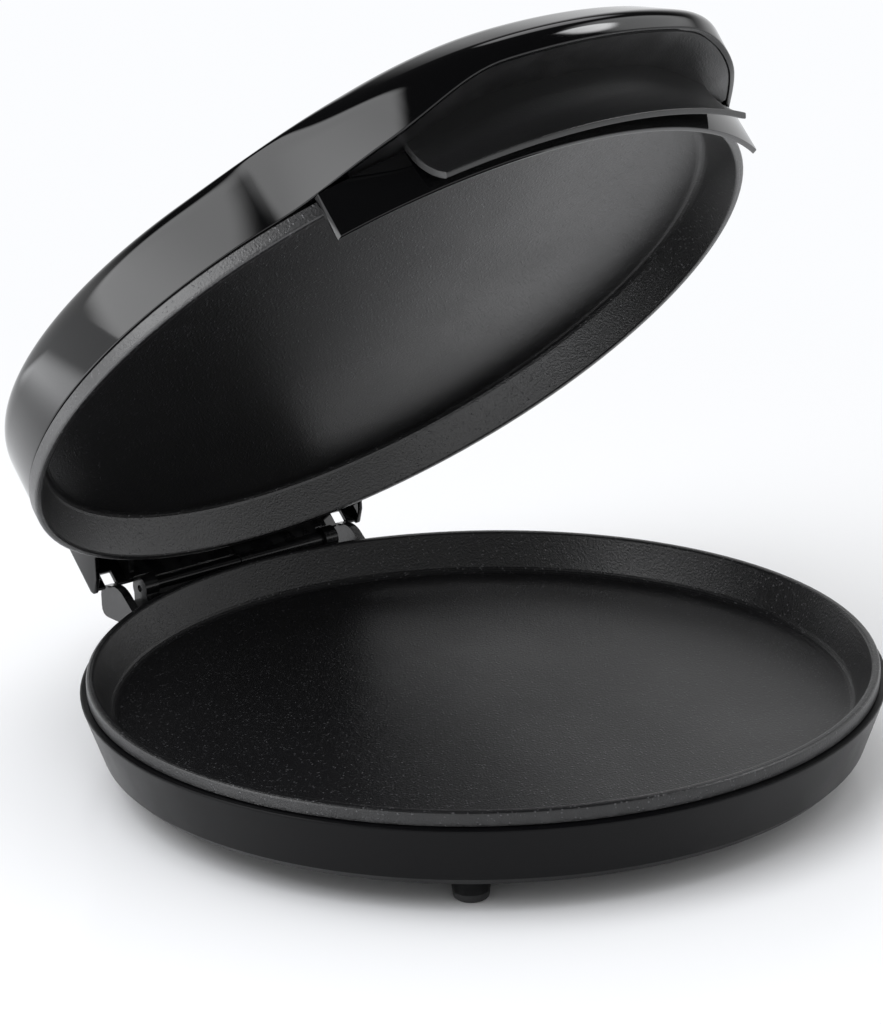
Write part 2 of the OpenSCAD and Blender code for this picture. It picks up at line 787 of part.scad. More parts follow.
// The grip's wall is an arc that starts upright and flares out to the lip
module grip_wall() {
    low_z = upper_rim_z - lip_hang;
    high_z = shell_z + 2.5;
    top_z = shell_z + hood_rise + ledge_lift + 1;
    run = lip_r - cove_r;
    drop = high_z - low_z;
    bend_r = (run * run + drop * drop) / (2 * run);
    sweep = asin(drop / bend_r);
    c = [cove_r + bend_r, high_z];
    rotate(-90 - lip_half) rotate_extrude(angle = 2 * lip_half)
        polygon(concat(
            [[cove_r - lip_t, top_z], [cove_r, top_z]],
            arc(c, bend_r, 180, 180 + sweep, 8),
            arc(c, bend_r + lip_t, 180 + sweep, 180, 8)));
}

// Skirt behind the grip that keeps fingers off the plates, with tabs up to the ledge
module heat_guard() {
    low_z = upper_rim_z - guard_hang;
    top_z = shell_z - 0.3;
    tab_top = shell_z + hood_rise + ledge_lift - 0.2;
    color(black_gloss) on_lid() {
        rotate(-90 - guard_half) rotate_extrude(angle = 2 * guard_half)
            polygon([[guard_r - guard_t, low_z + 0.5], [guard_r - guard_t + 0.5, low_z], [guard_r - 0.5, low_z],
                [guard_r, low_z + 0.5], [guard_r, top_z - 0.5], [guard_r - 0.5, top_z],
                [guard_r - guard_t, top_z]]);
        for (a = [-9, 9])
            rotate(-90 + a - 2.5) rotate_extrude(angle = 5)
                translate([guard_r - guard_t + 0.5, shell_z - 4]) square([guard_t - 1, tab_top - shell_z + 4]);
    }
}

module upper_plate() {
    color(coating) on_lid() difference() {
        union() {
            translate([0, 0, upper_rim_z]) mirror([0, 0, 1])
                rotate_extrude() plate_section(upper_depth, upper_band_h);
            at_fixings() translate([0, 0, upper_back_z - eps])
                cylinder(d = boss_d - 1, h = pan_z - seat - upper_back_z + eps, $fn = 48);
        }
        at_fixings() translate([0, 0, upper_back_z + 0.5]) cylinder(d = screw_d - 0.3, h = 20, $fn = 32);
    }
}

module upper_element() {
    color(bare_steel) on_lid()
        translate([0, 0, upper_back_z + seat + element_d / 2]) heating_loop();
}

module upper_reflector() {
    color(bright_sheet) on_lid() translate([0, 0, pan_z]) reflector_sheet(screw_d + 0.4);
}

module upper_clips() {
    color(bare_steel) on_lid()
        translate([0, 0, upper_back_z + seat + element_d / 2]) mirror([0, 0, 1]) element_straps();
}

module upper_thermal_fuse() {
    color("#c9b27a") on_lid()
        rotate(fuse_angle) translate([fuse_r, 0, upper_back_z + seat + fuse_d / 2]) mirror([0, 0, 1]) fuse_shape();
}

// Leads from the upper element's tabs to the clips on the rear wall, beside the hinge
module lid_leads() {
    d = 2.2;
    over_tab = upper_back_z + 2 * seat + element_d / 2 + 0.4 + d / 2;
    color("#e6e2d8") on_lid()
        for (side = [-1, 1])
            lead([side * 6, 50, over_tab], [side * 3, shell_r - lid_wall - d / 2 - 0.3, over_tab], d);
}

// Screws that hold the pan on the upper plate's bosses
module lid_screws() {
    color(bare_steel) on_lid() at_fixings() translate([0, 0, pan_z + reflector_t + seat])
        mirror([0, 0, 1]) screw(screw_head_d, 7, 1.4);
}

// Bracket on the lid: a plate against the cowl's rear wall, with the right half of the tube on a web
module lid_hinge_bracket() {
    plate_th = 2.6;
    back = cowl_rear - cowl_wall - seat;
    low = cowl_edge_z + 0.6;
    tongue = hinge_z + tube_d / 2 + 0.8;
    high = notch_z + 13;
    color(black_satin) on_lid() difference() {
        union() {
            translate([-tube_half - block_w, back - plate_th, low])
                cube([2 * (tube_half + block_w), plate_th, high - low]);
            translate([-tube_half + 0.8, back - plate_th, tongue])
                cube([2 * tube_half - 0.8, plate_th, low - tongue + eps]);
            translate([0, hinge_y, hinge_z]) along_x(0.3, tube_half) circle(d = tube_d);
            // Web from the tube up to the plate
            along_x(0.3, tube_half) polygon([[hinge_y - 1.4, hinge_z + 2], [hinge_y + 1.6, hinge_z + 2],
                [back, low], [back, low + 3], [hinge_y - 1.4, low + 1]]);
            // Gusset beside the left bearing
            along_x(-tube_half - block_w - 2.4, -tube_half - block_w + 0.1)
                polygon([[back, high], [back, low], [hinge_y - 2, low + 1.5], [hinge_y - 7, low + 6.5]]);
        }
        pin_bore(0, tube_half + 1);
        for (x = [-24, 24]) bracket_screw_at(x) cylinder(d = screw_d + 0.2, h = 12, center = true, $fn = 32);
    }
}

// At a screw of the bracket: +Z points to the rear, from the bracket's front face
module bracket_screw_at(x) {
    translate([x, cowl_rear - cowl_wall - seat - 2.6, notch_z + 6]) rotate([-90, 0, 0]) children();
}

module bracket_screws() {
    color(bare_steel) on_lid()
        for (x = [-24, 24]) bracket_screw_at(x) translate([0, 0, -seat]) screw(screw_head_d, 4.4, 1.4);
}

base_housing();
foot_pads();
lower_plate();
lower_element();
lower_reflector();
lower_clips();
thermostat();
lower_thermal_fuse();
terminal_block();
base_leads();
base_screws();
cord_bush();
hinge_pin();
lid_shell();
grip_cover();
heat_guard();
upper_plate();
upper_element();
upper_reflector();
upper_clips();
upper_thermal_fuse();
lid_leads();
lid_screws();
lid_hinge_bracket();
bracket_screws();
power_lens();
ready_lens();
lamp_board();
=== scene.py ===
"""Looks of a round clamshell pizza maker that stands open on a pale floor.

Sizes are in millimetres and repeat those of the CAD model, apart from the ends of the grip and the guard,
which are cut square to X here. As there, Y starts at the plates' middle and the lid's pieces are drawn shut;
place_on_lid() then opens them to the photograph's angle.
"""

import json
import math

import bmesh
import bpy
from mathutils import Matrix, Vector


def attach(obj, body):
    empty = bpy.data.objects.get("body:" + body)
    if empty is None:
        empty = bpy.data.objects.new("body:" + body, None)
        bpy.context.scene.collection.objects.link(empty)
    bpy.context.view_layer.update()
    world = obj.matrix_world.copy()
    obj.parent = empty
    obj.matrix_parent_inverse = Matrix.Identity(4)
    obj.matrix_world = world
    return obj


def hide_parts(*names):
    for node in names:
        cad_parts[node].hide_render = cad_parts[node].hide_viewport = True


MM = 0.001
# Faces that meet at more degrees than this keep a sharp edge
SHARP_ANGLE = 32

SHELL_R = 161.7
SHELL_Z = 51.5
EDGE_LIFT = 0.6
EDGE_ROUND = 0.7
INNER_EDGE_ROUND = 0.5
SHOULDER_Z = 82.3
FACE_ROUND = 5.0
SHOULDER_ROUND = 7.0
DOME_H = 5.2
DOME_STEPS = 16
LID_WALL = 2.6
FACE_TOP_Z = 77.5
HOOD_REACH = 34.0
HOOD_RISE = 7.2
HOOD_DROP = 11.0
HOOD_FULL = 15.0
HOOD_END = 45.5
EDGE_RISE_FULL = 12.8
EDGE_RISE_END = 27.6
CROWN_IN = 4.0
CROWN_REACH = 22.0
CROWN_FULL = 10.0
CROWN_END = 56.0
HINGE_Y = 172.4
HINGE_Z = 41.3
COWL_HALF = 73.5
COWL_REAR = 177.2
COWL_TOP = 81.1
COWL_ROUND = 13.0
COWL_WALL = 2.4
COWL_EDGE_Z = 46.8
COWL_END_DROP = 4.4
NOTCH_Z = 54.0
EAR_MIDDLE_X = 63.5
NOTCH_W = 6.0
COVE_R = 171.5
LIP_R = 182.0
LIP_LOW_Z = 31.4
LIP_T = 2.4
LIP_HALF = 27.0
LIP_END_X = 74.6
LEDGE_IN_R = 165.0
LEDGE_HALF = 33.75
LEDGE_GAP = 0.35
LEDGE_LIFT = 0.8
LEDGE_T = 2.0
GUARD_R = 168.5
GUARD_T = 2.4
GUARD_LOW_Z = 32.2
GUARD_TOP_Z = 51.2
GUARD_HALF = 39.5
GUARD_END_X = 104.4
LENS_X = 11.0
LENS_Y = -146.0
LENS_HOLE_R = 3.7
# Cutters end well outside what they cut
LENS_CUT_DEPTH = 8.0
LENS_CUT_TOP_Z = 95.0
END_CUT_W = 30.0
END_CUT_Y = -250.0
END_CUT_TOP_Z = 120.0
COWL_CUT_FRONT = 12.0
COWL_CUT_REAR = 28.0
COWL_CUT_DROP = 1.0
HOLLOW_DROP = 9.0
SHELL_ROOM_TOP_Z = 200.0


# Curves and sections


def ease(u):
    v = min(max(u, 0.0), 1.0)
    return v * v * (3 - 2 * v)


def swell(angle, full, end):
    """1 up to the angle full, falling smoothly to 0 at the angle end."""
    return 1 - ease((abs(angle) - full) / (end - full))


def rounded(a, b, c, size, steps):
    """Points that round the corner at b between a and c."""
    a, b, c = Vector(a), Vector(b), Vector(c)
    start = b + (a - b) * min(size / (a - b).length, 0.5)
    end = b + (c - b) * min(size / (c - b).length, 0.5)
    points = []
    for i in range(steps + 1):
        u = i / steps
        points.append(start * (1 - u) ** 2 + b * (2 * u * (1 - u)) + end * u * u)
    return points


def arc(centre, radius, first, last, steps):
    points = []
    for i in range(steps + 1):
        a = math.radians(first + (last - first) * i / steps)
        points.append(Vector((centre[0] + radius * math.cos(a), centre[1] + radius * math.sin(a))))
    return points


def turned(point, angle):
    """A point (radius, height) of a section, turned to an angle in degrees from the front."""
    a = math.radians(angle)
    return Vector((point[0] * math.sin(a), -point[0] * math.cos(a), point[1]))


# Meshes


def finish_mesh(mesh):
    mesh.shade_smooth()
    mesh.set_sharp_from_angle(angle=math.radians(SHARP_ANGLE))


def new_piece(name, points, faces):
    mesh = bpy.data.meshes.new(name)
    mesh.from_pydata([Vector(p) * MM for p in points], [], faces)
    work = bmesh.new()
    work.from_mesh(mesh)
    bmesh.ops.remove_doubles(work, verts=work.verts, dist=1e-6)
    bmesh.ops.recalc_face_normals(work, faces=work.faces)
    work.to_mesh(mesh)
    work.free()
    finish_mesh(mesh)
    piece = bpy.data.objects.new(name, mesh)
    bpy.context.scene.collection.objects.link(piece)
    return piece


def ring_faces(rings, size, closed_round, closed_section):
    """Four-sided faces between neighbouring sections of the same number of points."""
    faces = []
    last_ring = rings if closed_round else rings - 1
    last_point = size if closed_section else size - 1
    for i in range(last_ring):
        for j in range(last_point):
            p = i * size + j
            q = i * size + (j + 1) % size
            r = ((i + 1) % rings) * size + (j + 1) % size
            s = ((i + 1) % rings) * size + j
            faces.append((p, q, r, s))
    return faces


def swept_piece(name, section_at, first, last, steps):
    """A closed section carried round the middle from angle first to last, with flat ends."""
    points = []
    size = 0
    for i in range(steps + 1):
        angle = first + (last - first) * i / steps
        section = section_at(angle)
        size = len(section)
        points += [turned(p, angle) for p in section]
    faces = ring_faces(steps + 1, size, False, True)
    faces.append(tuple(range(size)))
    faces.append(tuple(steps * size + j for j in range(size)))
    return new_piece(name, points, faces)


def prism_along_x(name, outline, x0, x1):
    size = len(outline)
    points = [(x0, p[0], p[1]) for p in outline] + [(x1, p[0], p[1]) for p in outline]
    faces = [(j, (j + 1) % size, size + (j + 1) % size, size + j) for j in range(size)]
    faces.append(tuple(range(size)))
    faces.append(tuple(size + j for j in range(size)))
    return new_piece(name, points, faces)


def box_piece(name, low, high):
    outline = [(low[1], low[2]), (high[1], low[2]), (high[1], high[2]), (low[1], high[2])]
    return prism_along_x(name, outline, low[0], high[0])


def upright_cylinder(name, middle, radius, z0, z1, steps):
    def rim(z):
        points = []
        for i in range(steps):
            a = 2 * math.pi * i / steps
            points.append((middle[0] + radius * math.cos(a), middle[1] + radius * math.sin(a), z))
        return points

    faces = [(j, (j + 1) % steps, steps + (j + 1) % steps, steps + j) for j in range(steps)]
    faces.append(tuple(range(steps)))
    faces.append(tuple(steps + j for j in range(steps)))
    return new_piece(name, rim(z0) + rim(z1), faces)


def apply_modifiers(piece):
    depsgraph = bpy.context.evaluated_depsgraph_get()
    done = bpy.data.meshes.new_from_object(piece.evaluated_get(depsgraph))
    piece.modifiers.clear()
    piece.data = done
    finish_mesh(done)


def cut_away(piece, cutters):
    for cutter in cutters:
        step = piece.modifiers.new("cut", "BOOLEAN")
        step.operation = "DIFFERENCE"
        step.solver = "EXACT"
        step.object = cutter
    apply_modifiers(piece)
    for cutter in cutters:
        bpy.data.objects.remove(cutter)


def soften_edges(piece, width, angle=40):
    """Rounds the piece's hard edges, so that they catch the light."""
    bevel = piece.modifiers.new("soft edges", "BEVEL")
    bevel.width = width * MM
    bevel.segments = 3
    bevel.limit_method = "ANGLE"
    bevel.angle_limit = math.radians(angle)
    apply_modifiers(piece)


def cut_ends(piece, x):
    """Cuts both ends of a piece of the lid's front straight off, square to X."""
    boxes = []
    for side in (-1, 1):
        low_x, high_x = sorted((side * x, side * (x + END_CUT_W)))
        boxes.append(box_piece("end_cut", (low_x, END_CUT_Y, 0), (high_x, 0, END_CUT_TOP_Z)))
    cut_away(piece, boxes)


# Lid pieces


def hood_low_r(angle):
    return SHELL_R + HOOD_REACH * swell(angle, HOOD_FULL, HOOD_END)


def hood_low_z(angle):
    return SHELL_Z + HOOD_RISE * swell(angle, EDGE_RISE_FULL, EDGE_RISE_END)


def shell_outline(angle, inset):
    """The lid's section from its lower edge to its crown, on the outside or a wall's thickness inside."""
    hood = swell(angle, HOOD_FULL, HOOD_END)
    crown = swell(angle, CROWN_FULL, CROWN_END)
    low = (hood_low_r(angle) - inset, hood_low_z(angle) + EDGE_LIFT * (1 - hood))
    face = (low[0] + hood, FACE_TOP_Z - HOOD_DROP * hood - inset * 0.3)
    top = (SHELL_R - CROWN_IN + CROWN_REACH * crown - inset * 0.6, SHOULDER_Z - inset)
    inner = (top[0] - 30, SHOULDER_Z - inset)
    points = [Vector(low)]
    points += rounded(low, face, top, FACE_ROUND, 8)
    points += rounded(face, top, inner, SHOULDER_ROUND, 10)
    dome_r = points[-1][0]
    for i in range(1, DOME_STEPS + 1):
        f = 1 - i / DOME_STEPS
        points.append(Vector((dome_r * f, SHOULDER_Z - inset + DOME_H * (1 - f * f))))
    return points


def shell_section(angle):
    outside = shell_outline(angle, 0)
    inside = shell_outline(angle, LID_WALL)
    edge = rounded(outside[1], outside[0], inside[0], EDGE_ROUND, 4)
    edge += rounded(outside[0], inside[0], inside[1], INNER_EDGE_ROUND, 3)
    return list(reversed(outside[1:])) + edge + inside[1:]


def make_lid_shell():
    steps = 288
    points = []
    size = 0
    for i in range(steps):
        angle = i * 360 / steps - 180
        section = shell_section(angle)
        size = len(section)
        points += [turned(p, angle) for p in section]
    shell = new_piece("lid_shell_skin", points, ring_faces(steps, size, True, False))
    holes = []
    for side in (-1, 1):
        middle = (side * LENS_X, LENS_Y)
        low_z = SHOULDER_Z - LENS_CUT_DEPTH
        holes.append(upright_cylinder("lens_hole", middle, LENS_HOLE_R, low_z, LENS_CUT_TOP_Z, 64))
    cut_away(shell, holes)
    return shell


def cowl_outline(inset, low):
    """The rear cowl's section through the hinge's middle, in Y and Z."""
    rear = COWL_REAR - inset
    top = COWL_TOP - inset
    front = HINGE_Y - 60 - inset
    points = [
        (front, SHELL_Z - inset),
        (HINGE_Y - 26, SHELL_Z - inset),
        (HINGE_Y - 10.4, SHELL_Z + 5 - inset),
        (HINGE_Y - 3.6, low + 3.4),
        (min(HINGE_Y + 2.4, rear - 1.5), low),
        (rear - 1.2, low),
        (rear, low + 1.8),
    ]
    radius = COWL_ROUND - inset
    points += arc((rear - radius, top - radius), radius, 0, 90, 20)
    points.append((front, top))
    return points


def make_cowl():
    low = HINGE_Z + COWL_END_DROP
    cowl = prism_along_x("rear_cowl", cowl_outline(0, low), -COWL_HALF, COWL_HALF)
    inside = COWL_HALF - COWL_WALL
    cut_front = HINGE_Y - COWL_CUT_FRONT
    cut_rear = HINGE_Y + COWL_CUT_REAR
    cut_low = low - COWL_CUT_DROP
    cutters = [
        prism_along_x("hollow", cowl_outline(COWL_WALL, low - HOLLOW_DROP), -inside, inside),
        box_piece("edge_cut", (-inside, cut_front, cut_low), (inside, cut_rear, COWL_EDGE_Z)),
        upright_cylinder("shell_room", (0, 0), SHELL_R - LID_WALL / 2, 0, SHELL_ROOM_TOP_Z, 256),
    ]
    for side in (-1, 1):
        x = side * EAR_MIDDLE_X
        low_corner = (x - NOTCH_W / 2, cut_front, cut_low)
        high_corner = (x + NOTCH_W / 2, cut_rear, NOTCH_Z)
        cutters.append(box_piece("notch", low_corner, high_corner))
    cut_away(cowl, cutters)
    soften_edges(cowl, 0.5)
    return cowl


def make_grip_wall():
    """The hollow's wall under the hood, which flares out to the lip that the fingers lift."""
    high_z = SHELL_Z + 2.5
    run = LIP_R - COVE_R
    drop = high_z - LIP_LOW_Z
    bend_r = (run * run + drop * drop) / (2 * run)
    sweep = math.degrees(math.asin(drop / bend_r))
    centre = (COVE_R + bend_r, high_z)
    top_z = SHELL_Z + HOOD_RISE + 1.8
    outer = arc(centre, bend_r, 180, 180 + sweep, 20)
    inner = arc(centre, bend_r + LIP_T, 180 + sweep, 180, 20)
    low_edge = rounded(outer[-2], outer[-1], inner[0], EDGE_ROUND, 3)
    low_edge += rounded(outer[-1], inner[0], inner[1], EDGE_ROUND, 3)
    section = [Vector((COVE_R - LIP_T, top_z)), Vector((COVE_R, top_z))]
    section += outer[:-1] + low_edge + inner[1:]
    wall = swept_piece("grip_wall", lambda angle: section, -LIP_HALF, LIP_HALF, 80)
    cut_ends(wall, LIP_END_X)
    soften_edges(wall, 0.35, 60)
    return wall


def make_grip_ledge():
    """The sheet that closes the hood from below."""

    def section(angle):
        out = hood_low_r(angle) - LID_WALL - LEDGE_GAP
        low = hood_low_z(angle) + LEDGE_LIFT
        high = low + LEDGE_T
        corners = [(LEDGE_IN_R, low), (out, low), (out, high), (LEDGE_IN_R, high)]
        return [Vector(corner) for corner in corners]

    return swept_piece("grip_ledge", section, -LEDGE_HALF, LEDGE_HALF, 108)


def make_heat_guard():
    inner_r = GUARD_R - GUARD_T
    corners = [
        (inner_r, GUARD_TOP_Z),
        (inner_r, GUARD_LOW_Z),
        (GUARD_R, GUARD_LOW_Z),
        (GUARD_R, GUARD_TOP_Z),
    ]
    section = [Vector(corners[0])]
    section += rounded(corners[0], corners[1], corners[2], 0.6, 3)
    section += rounded(corners[1], corners[2], corners[3], 0.6, 3)
    section += rounded(corners[2], corners[3], corners[0], 0.5, 3)
    guard = swept_piece("heat_guard_skin", lambda angle: section, -GUARD_HALF, GUARD_HALF, 120)
    cut_ends(guard, GUARD_END_X)
    soften_edges(guard, 0.3, 60)
    return guard


# Shader node groups: effects that several finishes share


def new_group(name, numbers, results):
    """A node group with number inputs {title: default} and outputs {title: socket type}."""
    tree = bpy.data.node_groups.new(name, "ShaderNodeTree")
    for title, value in numbers.items():
        socket = tree.interface.new_socket(title, in_out="INPUT", socket_type="NodeSocketFloat")
        socket.default_value = value
    for title, kind in results.items():
        tree.interface.new_socket(title, in_out="OUTPUT", socket_type=kind)
    return tree, tree.nodes.new("NodeGroupInput"), tree.nodes.new("NodeGroupOutput")


def calculate(tree, operation, *values):
    """A Math node; each value is a number or another node's output."""
    node = tree.nodes.new("ShaderNodeMath")
    node.operation = operation
    for i, value in enumerate(values):
        if isinstance(value, (int, float)):
            node.inputs[i].default_value = value
        else:
            tree.links.new(value, node.inputs[i])
    return node.outputs[0]


def spread(tree, value, low, high, to_low=0.0, to_high=1.0):
    """Maps a value from low..high to to_low..to_high, smoothly and within those ends."""
    node = tree.nodes.new("ShaderNodeMapRange")
    node.interpolation_type = "SMOOTHSTEP"
    tree.links.new(value, node.inputs["Value"])
    for title, number in (("From Min", low), ("From Max", high), ("To Min", to_low), ("To Max", to_high)):
        if isinstance(number, (int, float)):
            node.inputs[title].default_value = number
        else:
            tree.links.new(number, node.inputs[title])
    return node.outputs["Result"]


def noise(tree, place, scale, detail=3.0, roughness=0.55):
    node = tree.nodes.new("ShaderNodeTexNoise")
    tree.links.new(place, node.inputs["Vector"])
    if isinstance(scale, (int, float)):
        node.inputs["Scale"].default_value = scale
    else:
        tree.links.new(scale, node.inputs["Scale"])
    node.inputs["Detail"].default_value = detail
    node.inputs["Roughness"].default_value = roughness
    return node.outputs["Fac"]


def build_grain_group():
    """Fine moulded grain: a height for bumps and a slow blotch for gloss."""
    tree, given, out = new_group(
        "moulded grain",
        {"Scale": 900.0, "Blotch Scale": 25.0},
        {"Height": "NodeSocketFloat", "Blotch": "NodeSocketFloat"},
    )
    place = tree.nodes.new("ShaderNodeTexCoord").outputs["Object"]
    fine = noise(tree, place, given.outputs["Scale"], 2.0)
    slow = noise(tree, place, given.outputs["Blotch Scale"], 4.0)
    tree.links.new(fine, out.inputs["Height"])
    tree.links.new(slow, out.inputs["Blotch"])
    return tree


def build_speckle_group():
    """The fine flecks and bumps of a sprayed baking coat."""
    tree, given, out = new_group(
        "coat speckle",
        {"Scale": 700.0, "Amount": 0.3},
        {"Flecks": "NodeSocketFloat", "Height": "NodeSocketFloat"},
    )
    place = tree.nodes.new("ShaderNodeTexCoord").outputs["Object"]
    cells = tree.nodes.new("ShaderNodeTexVoronoi")
    tree.links.new(place, cells.inputs["Vector"])
    tree.links.new(given.outputs["Scale"], cells.inputs["Scale"])
    near = spread(tree, cells.outputs["Distance"], 0.12, 0.34, 1.0, 0.0)
    pick = noise(tree, place, calculate(tree, "MULTIPLY", given.outputs["Scale"], 0.6), 1.0)
    low = calculate(tree, "SUBTRACT", 0.62, calculate(tree, "MULTIPLY", given.outputs["Amount"], 0.3))
    chosen = spread(tree, pick, low, calculate(tree, "ADD", low, 0.08))
    flecks = calculate(tree, "MULTIPLY", near, chosen)
    rough = noise(tree, place, calculate(tree, "MULTIPLY", given.outputs["Scale"], 1.7), 3.0)
    tree.links.new(flecks, out.inputs["Flecks"])
    raised = calculate(tree, "MULTIPLY", flecks, 0.6)
    tree.links.new(calculate(tree, "ADD", rough, raised), out.inputs["Height"])
    return tree


def build_wear_group():
    """A mask of rubbed edges, broken up by noise."""
    tree, given, out = new_group(
        "edge wear", {"Start": 0.53, "Breakup Scale": 120.0}, {"Mask": "NodeSocketFloat"}
    )
    shape = tree.nodes.new("ShaderNodeNewGeometry").outputs["Pointiness"]
    place = tree.nodes.new("ShaderNodeTexCoord").outputs["Object"]
    edge = spread(tree, shape, given.outputs["Start"], calculate(tree, "ADD", given.outputs["Start"], 0.08))
    patches = spread(tree, noise(tree, place, given.outputs["Breakup Scale"], 4.0), 0.4, 0.65)
    tree.links.new(calculate(tree, "MULTIPLY", edge, patches), out.inputs["Mask"])
    return tree


def build_film_group():
    """A thin, uneven film that softens the gloss here and there."""
    tree, given, out = new_group("handling film", {"Scale": 14.0}, {"Mask": "NodeSocketFloat"})
    place = tree.nodes.new("ShaderNodeTexCoord").outputs["Object"]
    wide = spread(tree, noise(tree, place, given.outputs["Scale"], 5.0), 0.45, 0.75)
    specks = spread(tree, noise(tree, place, 1600.0, 1.0), 0.72, 0.8)
    total = calculate(tree, "MAXIMUM", calculate(tree, "MULTIPLY", wide, 0.6), specks)
    tree.links.new(total, out.inputs["Mask"])
    return tree


GRAIN = build_grain_group()
SPECKLE = build_speckle_group()
WEAR = build_wear_group()
FILM = build_film_group()


# Finishes


class Finish:
    """One material: a Principled shader with helpers that feed its sockets."""

    def __init__(self, name, colour, roughness, **sockets):
        self.material = bpy.data.materials.new(name)
        self.material.use_nodes = True
        self.tree = self.material.node_tree
        self.shader = self.tree.nodes["Principled BSDF"]
        self.colour = colour
        self.shader.inputs["Base Color"].default_value = (*colour, 1)
        self.shader.inputs["Roughness"].default_value = roughness
        for title, value in sockets.items():
            self.shader.inputs[title.replace("_", " ")].default_value = value

    def use(self, group, **values):
        node = self.tree.nodes.new("ShaderNodeGroup")
        node.node_tree = group
        for title, value in values.items():
            node.inputs[title.replace("_", " ")].default_value = value
        return node.outputs

    def bump(self, height, strength, distance, under=None):
        node = self.tree.nodes.new("ShaderNodeBump")
        node.inputs["Strength"].default_value = strength
        node.inputs["Distance"].default_value = distance
        self.tree.links.new(height, node.inputs["Height"])
        if under is not None:
            self.tree.links.new(under, node.inputs["Normal"])
        return node.outputs["Normal"]

    def feed(self, socket, value):
        self.tree.links.new(value, self.shader.inputs[socket])

    def vary_roughness(self, value, low, high):
        self.feed("Roughness", spread(self.tree, value, 0.3, 0.7, low, high))

    def mix_colours(self, mask, first, second):
        node = self.tree.nodes.new("ShaderNodeMix")
        node.data_type = "RGBA"
        self.tree.links.new(mask, node.inputs["Factor"])
        for title, value in (("A", first), ("B", second)):
            socket = [s for s in node.inputs if s.name == title and s.type == "RGBA"][0]
            if isinstance(value, tuple):
                socket.default_value = (*value, 1)
            else:
                self.tree.links.new(value, socket)
        return [s for s in node.outputs if s.type == "RGBA"][0]


def gloss_black():
    """Polished plastic with slight waves and a thin film from handling."""
    finish = Finish("gloss_black", (0.0016, 0.0016, 0.0018), 0.07, IOR=1.52)
    grain = finish.use(GRAIN, Scale=260.0, Blotch_Scale=9.0)
    film = finish.use(FILM, Scale=16.0)
    wear = finish.use(WEAR, Start=0.56)
    finish.feed("Roughness", spread(finish.tree, film["Mask"], 0.0, 1.0, 0.055, 0.16))
    finish.feed("Base Color", finish.mix_colours(wear["Mask"], finish.colour, (0.008, 0.008, 0.0084)))
    waves = finish.bump(grain["Blotch"], 0.12, 0.0006)
    finish.feed("Normal", finish.bump(grain["Height"], 0.03, 0.0001, waves))
    return finish.material


# Metres behind the origin between which the housing's coat sets in
COAT_START_Y = 0.118
COAT_FULL_Y = 0.128


def satin_black():
    """The moulded housing: dull in front, with a coat that sets in near the hinge."""
    finish = Finish("satin_black", (0.0026, 0.0026, 0.003), 0.34, IOR=1.5, Specular_IOR_Level=0.12)
    grain = finish.use(GRAIN, Scale=1500.0, Blotch_Scale=20.0)
    wear = finish.use(WEAR, Start=0.54)
    finish.vary_roughness(grain["Blotch"], 0.28, 0.4)
    finish.feed("Base Color", finish.mix_colours(wear["Mask"], finish.colour, (0.012, 0.012, 0.0125)))
    finish.feed("Normal", finish.bump(grain["Height"], 0.34, 0.00014))
    place = finish.tree.nodes.new("ShaderNodeTexCoord").outputs["Object"]
    split = finish.tree.nodes.new("ShaderNodeSeparateXYZ")
    finish.tree.links.new(place, split.inputs["Vector"])
    finish.feed("Coat Weight", spread(finish.tree, split.outputs["Y"], COAT_START_Y, COAT_FULL_Y))
    finish.shader.inputs["Coat Roughness"].default_value = 0.16
    return finish.material


def matt_black():
    """The grip's grained plastic."""
    finish = Finish("matt_black", (0.0045, 0.0045, 0.0048), 0.42, IOR=1.5, Specular_IOR_Level=0.9)
    grain = finish.use(GRAIN, Scale=1300.0, Blotch_Scale=24.0)
    wear = finish.use(WEAR, Start=0.54)
    finish.vary_roughness(grain["Blotch"], 0.36, 0.46)
    finish.feed("Base Color", finish.mix_colours(wear["Mask"], finish.colour, (0.014, 0.014, 0.0145)))
    finish.feed("Normal", finish.bump(grain["Height"], 0.5, 0.0002))
    return finish.material


def baking_coat(name, gloss):
    """The plates' coat, with fine flecks and rubbed edges."""
    finish = Finish(name, (0.008, 0.0078, 0.0084), 0.32, IOR=1.5, Specular_IOR_Level=gloss)
    coat = finish.use(SPECKLE, Scale=620.0, Amount=0.5)
    grain = finish.use(GRAIN, Scale=420.0, Blotch_Scale=14.0)
    worn = finish.use(WEAR, Start=0.53)
    dark = finish.mix_colours(grain["Blotch"], (0.006, 0.006, 0.0064), (0.0095, 0.0094, 0.01))
    fleck_mask = calculate(finish.tree, "MULTIPLY", coat["Flecks"], 0.6)
    flecked = finish.mix_colours(fleck_mask, dark, (0.09, 0.09, 0.094))
    finish.feed("Base Color", finish.mix_colours(worn["Mask"], flecked, (0.03, 0.0295, 0.031)))
    finish.vary_roughness(grain["Blotch"], 0.28, 0.36)
    finish.feed("Normal", finish.bump(coat["Height"], 0.55, 0.0003))
    return finish.material


def metal(name, colour, roughness):
    finish = Finish(name, colour, roughness, Metallic=1.0)
    grain = finish.use(GRAIN, Scale=1200.0, Blotch_Scale=40.0)
    finish.vary_roughness(grain["Blotch"], roughness * 0.8, roughness * 1.3)
    shade = tuple(c * 0.8 for c in colour)
    finish.feed("Base Color", finish.mix_colours(grain["Blotch"], shade, colour))
    finish.feed("Normal", finish.bump(grain["Height"], 0.15, 0.0001))
    return finish.material


